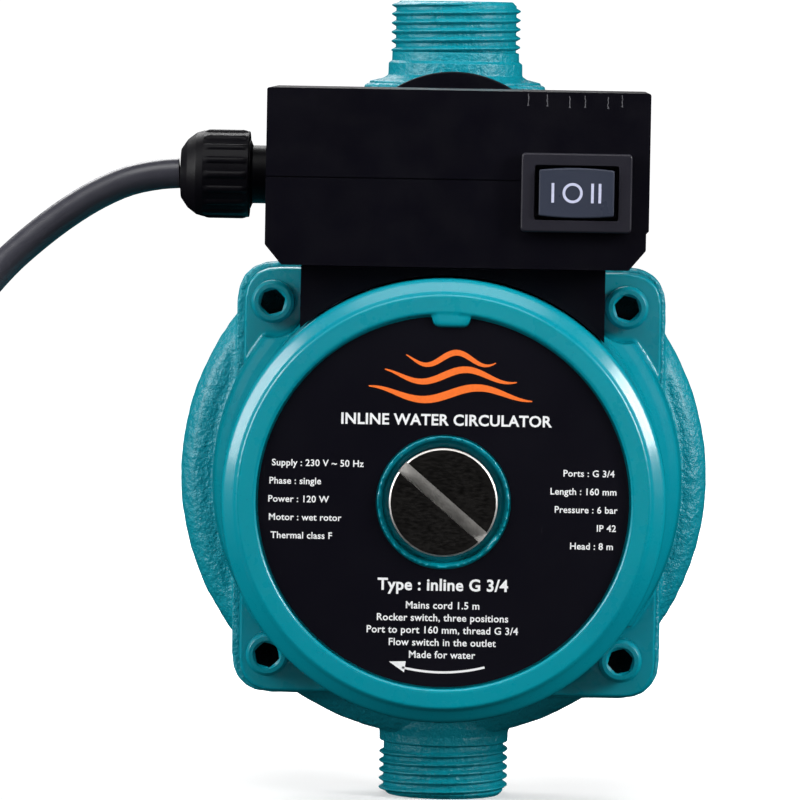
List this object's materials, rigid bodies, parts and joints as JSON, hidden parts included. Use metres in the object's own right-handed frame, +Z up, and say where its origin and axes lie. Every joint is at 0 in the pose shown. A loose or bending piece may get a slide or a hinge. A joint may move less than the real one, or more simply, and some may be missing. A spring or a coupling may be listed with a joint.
{
  "type": "inline circulating water pump",
  "caption": "Inline centrifugal circulating pump: canned motor, two threaded ports in line, terminal box with a three-position rocker switch, cable gland and mains cord.",
  "frame": {"origin": "centre of the lower (suction) port's end face", "axes": "+Z up along both ports to the discharge port; motor axis along Y, its front looking along -Y; +X to the right seen from the front"},
  "size_m": [0.2788, 0.1143, 0.16],
  "materials": {
    "teal_paint": "glossy enamel over a sand casting",
    "black_plastic": "moulded, fine satin grain",
    "plug_plastic": "moulded, satin",
    "charcoal_plastic": "satin",
    "slate_plastic": "smooth, pale printed marks",
    "label_film": "printed film",
    "nickel_plug": "dark brushed nickel plate",
    "cord_pvc": "satin PVC",
    "black_rubber": "moulded",
    "brass": "machined",
    "steel": "machined",
    "lamination": "stacked sheet, varnished",
    "magnet": "sintered",
    "copper": "enamelled wire",
    "bearing_ceramic": "ground",
    "pale_plastic": "moulded",
    "reed_glass": "sealed tube",
    "circuit_board": "coated board"
  },
  "bodies": {
    "pump_body": {"pump_housing": "teal_paint", "motor_housing": "teal_paint", "flange_screw_1": "teal_paint", "flange_screw_2": "teal_paint", "flange_screw_3": "teal_paint", "flange_screw_4": "teal_paint", "terminal_box_base": "black_plastic", "terminal_box_cover": "black_plastic", "sensor_pod": "black_plastic", "gland_body": "black_plastic", "gland_nut": "black_plastic", "gland_locknut": "black_plastic", "cord_tie": "black_plastic", "plug_body": "plug_plastic", "plug_relief": "plug_plastic", "switch_bezel": "charcoal_plastic", "label_disc": "label_film", "cord_lead": "cord_pvc", "cord_coil": "cord_pvc", "cord_tail": "cord_pvc", "sensor_lead": "cord_pvc", "casing_seal": "black_rubber", "lead_grommet": "black_rubber", "gland_seal": "black_rubber", "wear_ring": "brass", "front_bearing_holder": "brass", "plug_pin_line": "brass", "plug_pin_neutral": "brass", "plug_pin_earth": "brass", "bearing_plate": "steel", "rotor_can": "steel", "box_screw_1": "steel", "box_screw_2": "steel", "cover_screw_1": "steel", "cover_screw_2": "steel", "pod_screw_1": "steel", "pod_screw_2": "steel", "flap_pin": "steel", "stator_core": "lamination", "winding_rear": "copper", "winding_front": "copper", "rear_bearing": "bearing_ceramic", "front_bearing": "bearing_ceramic", "run_capacitor": "pale_plastic", "terminal_block": "pale_plastic", "reed_switch": "reed_glass", "control_board": "circuit_board"},
    "rotor": {"shaft": "steel", "rotor_core": "steel", "impeller": "pale_plastic", "impeller_nut": "brass", "thrust_washer": "bearing_ceramic"},
    "rocker": {"switch_rocker": "slate_plastic"},
    "vent_carriage": {"vent_seal": "black_rubber"},
    "vent_screw": {"vent_plug": "nickel_plug"},
    "flap": {"flow_flap": "steel", "flap_magnet": "magnet"}
  },
  "joints": [
    {"name": "rotor_spin", "type": "hinge", "parent": "pump_body", "child": "rotor", "pos_m": [0, 0, 0.065], "axis": [0, 1, 0], "continuous": true},
    {"name": "rocker_tilt", "type": "hinge", "parent": "pump_body", "child": "rocker", "pos_m": [0.02415, -0.0782, 0.1238], "axis": [0, 0, 1], "range_deg": [-12, 12]},
    {"name": "vent_travel", "type": "slide", "parent": "pump_body", "child": "vent_carriage", "axis": [0, -1, 0], "range_m": [0, 0.0046]},
    {"name": "vent_turn", "type": "hinge", "parent": "vent_carriage", "child": "vent_screw", "pos_m": [0, -0.081, 0.065], "axis": [0, -1, 0], "range_deg": [0, 1080]},
    {"name": "flap_swing", "type": "hinge", "parent": "pump_body", "child": "flap", "pos_m": [0, 0.009, 0.1186], "axis": [-1, 0, 0], "range_deg": [0, 60]}
  ],
  "couplings": [
    {"joint": "vent_travel", "follows": "vent_turn", "m_per_rad": 0.00023873}
  ]
}
